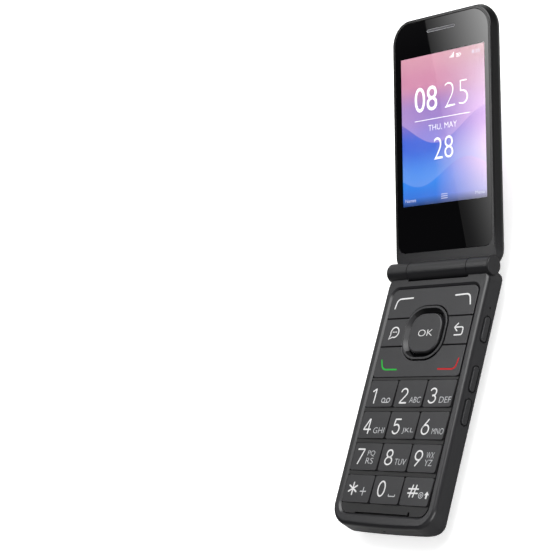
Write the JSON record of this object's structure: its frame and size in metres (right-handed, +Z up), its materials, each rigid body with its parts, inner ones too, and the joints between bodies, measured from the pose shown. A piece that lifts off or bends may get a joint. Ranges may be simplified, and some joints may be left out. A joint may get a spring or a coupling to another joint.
{
  "type": "flip phone",
  "caption": "Clamshell mobile phone with a twelve-key pad, navigation ring, side keys, a large inner screen, a small outer screen and camera on the lid.",
  "frame": {"origin": "centre of the battery cover's flat back, at half the base's length", "axes": "+X to the phone's right (side keys), +Y from the keypad's foot to the hinge and open lid, +Z up from the back"},
  "size_m": [0.0531, 0.1955, 0.0445],
  "materials": {
    "case_plastic": "fine matte texture",
    "key_plastic": "satin",
    "gloss_plastic": "polished",
    "window_glass": "polished",
    "screen": "smooth",
    "silver_plastic": "satin metallic",
    "steel": "turned",
    "board": "satin",
    "rubber": "matte",
    "film": "smooth",
    "battery_wrap": "matte printed wrap, bare of text",
    "copper_film": "smooth"
  },
  "bodies": {
    "base": {"top_case": "case_plastic", "rear_case": "case_plastic", "keypad_plate": "case_plastic", "main_board": "board", "dome_sheet": "film", "keypad_mat": "rubber", "shield_cans": "steel", "battery": "battery_wrap", "battery_contacts": "case_plastic", "loudspeaker": "case_plastic", "antenna": "copper_film", "usb_socket": "steel", "headset_jack": "case_plastic", "microphone": "case_plastic", "switch_boards": "board", "case_screws": "steel", "hinge_end_caps": "case_plastic", "hinge_cam_shaft": "steel", "hinge_pin": "steel", "hinge_flex": "copper_film"},
    "lid": {"lid_bezel": "case_plastic", "lid_cover": "gloss_plastic", "main_window": "window_glass", "main_screen": "screen", "earpiece_grille": "silver_plastic", "outer_window": "window_glass", "outer_screen": "screen", "camera_ring": "gloss_plastic", "camera_window": "window_glass", "camera_module": "case_plastic", "earpiece": "steel", "vibration_motor": "steel", "lid_magnet": "steel", "lid_board": "board", "lid_screws": "steel", "hinge_spring_case": "steel", "hinge_spring": "steel"},
    "key_1": {"key_1": "key_plastic"},
    "key_2": {"key_2": "key_plastic"},
    "key_3": {"key_3": "key_plastic"},
    "key_4": {"key_4": "key_plastic"},
    "key_5": {"key_5": "key_plastic"},
    "key_6": {"key_6": "key_plastic"},
    "key_7": {"key_7": "key_plastic"},
    "key_8": {"key_8": "key_plastic"},
    "key_9": {"key_9": "key_plastic"},
    "key_star": {"key_star": "key_plastic"},
    "key_0": {"key_0": "key_plastic"},
    "key_hash": {"key_hash": "key_plastic"},
    "message_key": {"message_key": "key_plastic"},
    "back_key": {"back_key": "key_plastic"},
    "ok_key": {"ok_key": "key_plastic"},
    "side_key_top": {"side_key_top": "key_plastic"},
    "volume_up_key": {"volume_up_key": "key_plastic"},
    "volume_down_key": {"volume_down_key": "key_plastic"},
    "softkey_bar": {"softkey_bar": "key_plastic"},
    "call_bar": {"call_bar": "key_plastic"},
    "nav_pivot": {"nav_pivot": "steel"},
    "nav_ring": {"nav_ring": "key_plastic"},
    "battery_cover": {"battery_cover": "case_plastic"}
  },
  "joints": [
    {"name": "lid_hinge", "type": "hinge", "parent": "base", "child": "lid", "pos_m": [0, 0.0488, 0.0116], "axis": [1, 0, 0], "range_deg": [0, 159.5]},
    {"name": "key_1_press", "type": "slide", "parent": "base", "child": "key_1", "axis": [0, 0, -1], "range_m": [0, 0.0003], "stiffness_N_per_m": 5000},
    {"name": "key_2_press", "type": "slide", "parent": "base", "child": "key_2", "axis": [0, 0, -1], "range_m": [0, 0.0003], "stiffness_N_per_m": 5000},
    {"name": "key_3_press", "type": "slide", "parent": "base", "child": "key_3", "axis": [0, 0, -1], "range_m": [0, 0.0003], "stiffness_N_per_m": 5000},
    {"name": "key_4_press", "type": "slide", "parent": "base", "child": "key_4", "axis": [0, 0, -1], "range_m": [0, 0.0003], "stiffness_N_per_m": 5000},
    {"name": "key_5_press", "type": "slide", "parent": "base", "child": "key_5", "axis": [0, 0, -1], "range_m": [0, 0.0003], "stiffness_N_per_m": 5000},
    {"name": "key_6_press", "type": "slide", "parent": "base", "child": "key_6", "axis": [0, 0, -1], "range_m": [0, 0.0003], "stiffness_N_per_m": 5000},
    {"name": "key_7_press", "type": "slide", "parent": "base", "child": "key_7", "axis": [0, 0, -1], "range_m": [0, 0.0003], "stiffness_N_per_m": 5000},
    {"name": "key_8_press", "type": "slide", "parent": "base", "child": "key_8", "axis": [0, 0, -1], "range_m": [0, 0.0003], "stiffness_N_per_m": 5000},
    {"name": "key_9_press", "type": "slide", "parent": "base", "child": "key_9", "axis": [0, 0, -1], "range_m": [0, 0.0003], "stiffness_N_per_m": 5000},
    {"name": "key_star_press", "type": "slide", "parent": "base", "child": "key_star", "axis": [0, 0, -1], "range_m": [0, 0.0003], "stiffness_N_per_m": 5000},
    {"name": "key_0_press", "type": "slide", "parent": "base", "child": "key_0", "axis": [0, 0, -1], "range_m": [0, 0.0003], "stiffness_N_per_m": 5000},
    {"name": "key_hash_press", "type": "slide", "parent": "base", "child": "key_hash", "axis": [0, 0, -1], "range_m": [0, 0.0003], "stiffness_N_per_m": 5000},
    {"name": "message_key_press", "type": "slide", "parent": "base", "child": "message_key", "axis": [0, 0, -1], "range_m": [0, 0.0003], "stiffness_N_per_m": 5000},
    {"name": "back_key_press", "type": "slide", "parent": "base", "child": "back_key", "axis": [0, 0, -1], "range_m": [0, 0.0003], "stiffness_N_per_m": 5000},
    {"name": "ok_key_press", "type": "slide", "parent": "base", "child": "ok_key", "axis": [0, 0, -1], "range_m": [0, 0.0003], "stiffness_N_per_m": 5000},
    {"name": "side_key_top_press", "type": "slide", "parent": "base", "child": "side_key_top", "axis": [-1, 0, 0], "range_m": [0, 0.0003], "stiffness_N_per_m": 5000},
    {"name": "volume_up_key_press", "type": "slide", "parent": "base", "child": "volume_up_key", "axis": [-1, 0, 0], "range_m": [0, 0.0003], "stiffness_N_per_m": 5000},
    {"name": "volume_down_key_press", "type": "slide", "parent": "base", "child": "volume_down_key", "axis": [-1, 0, 0], "range_m": [0, 0.0003], "stiffness_N_per_m": 5000},
    {"name": "softkey_bar_rock", "type": "hinge", "parent": "base", "child": "softkey_bar", "pos_m": [0, 0.0355, 0.0101], "axis": [0, 1, 0], "range_deg": [-0.8, 0.8], "stiffness_Nm_per_rad": 1.8},
    {"name": "call_bar_rock", "type": "hinge", "parent": "base", "child": "call_bar", "pos_m": [0, 0.0117, 0.0101], "axis": [0, 1, 0], "range_deg": [-0.8, 0.8], "stiffness_Nm_per_rad": 1.8},
    {"name": "nav_up_down", "type": "hinge", "parent": "base", "child": "nav_pivot", "pos_m": [0, 0.023, 0.0101], "axis": [1, 0, 0], "range_deg": [-0.9, 0.9], "stiffness_Nm_per_rad": 0.6},
    {"name": "nav_left_right", "type": "hinge", "parent": "nav_pivot", "child": "nav_ring", "pos_m": [0, 0.023, 0.0101], "axis": [0, 1, 0], "range_deg": [-0.9, 0.9], "stiffness_Nm_per_rad": 0.6},
    {"name": "battery_cover_off", "type": "slide", "parent": "base", "child": "battery_cover", "axis": [0, 0, -1], "range_m": [0, 0.012]}
  ]
}
